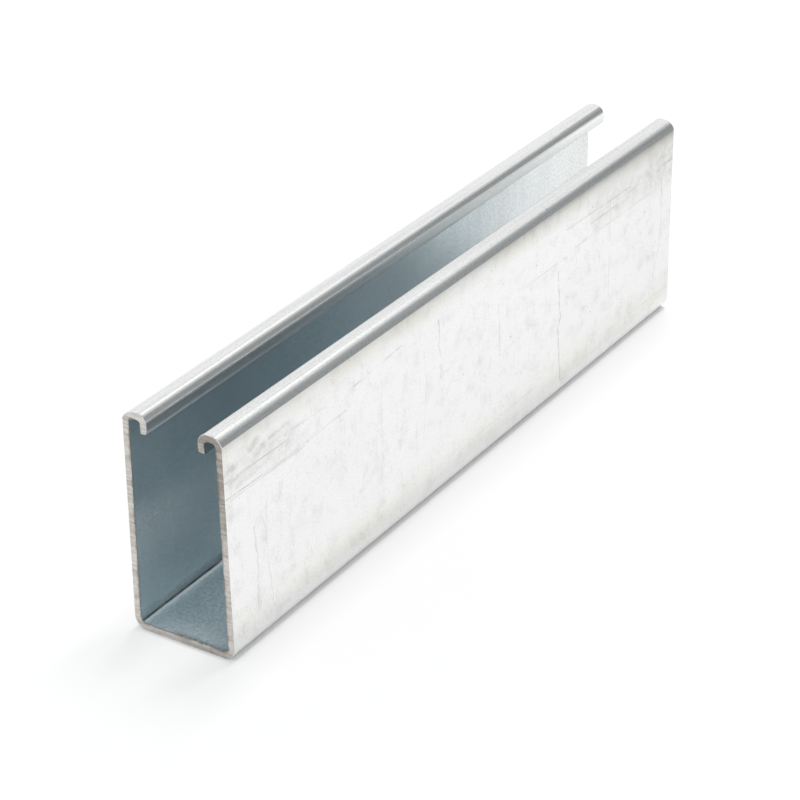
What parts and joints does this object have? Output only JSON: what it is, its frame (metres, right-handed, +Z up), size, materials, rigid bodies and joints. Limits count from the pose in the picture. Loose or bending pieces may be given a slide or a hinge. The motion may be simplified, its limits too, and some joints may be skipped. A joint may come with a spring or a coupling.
{
  "type": "strut channel",
  "caption": "Deep U-shaped strut channel of galvanised steel with in-turned lips along its open side, for mounting pipes, cables and fittings.",
  "frame": {"origin": "middle of the underside of the back, where the channel rests", "axes": "+Y along the length, away from the end that the picture shows nearest; +Z up through the open slot; +X across the width"},
  "size_m": [0.0412, 0.3048, 0.0826],
  "materials": {
    "galvanised_steel": "galvanised, satin with faint spangle and rolling streaks"
  },
  "bodies": {
    "root": {"strut_channel": "galvanised_steel"}
  },
  "joints": []
}
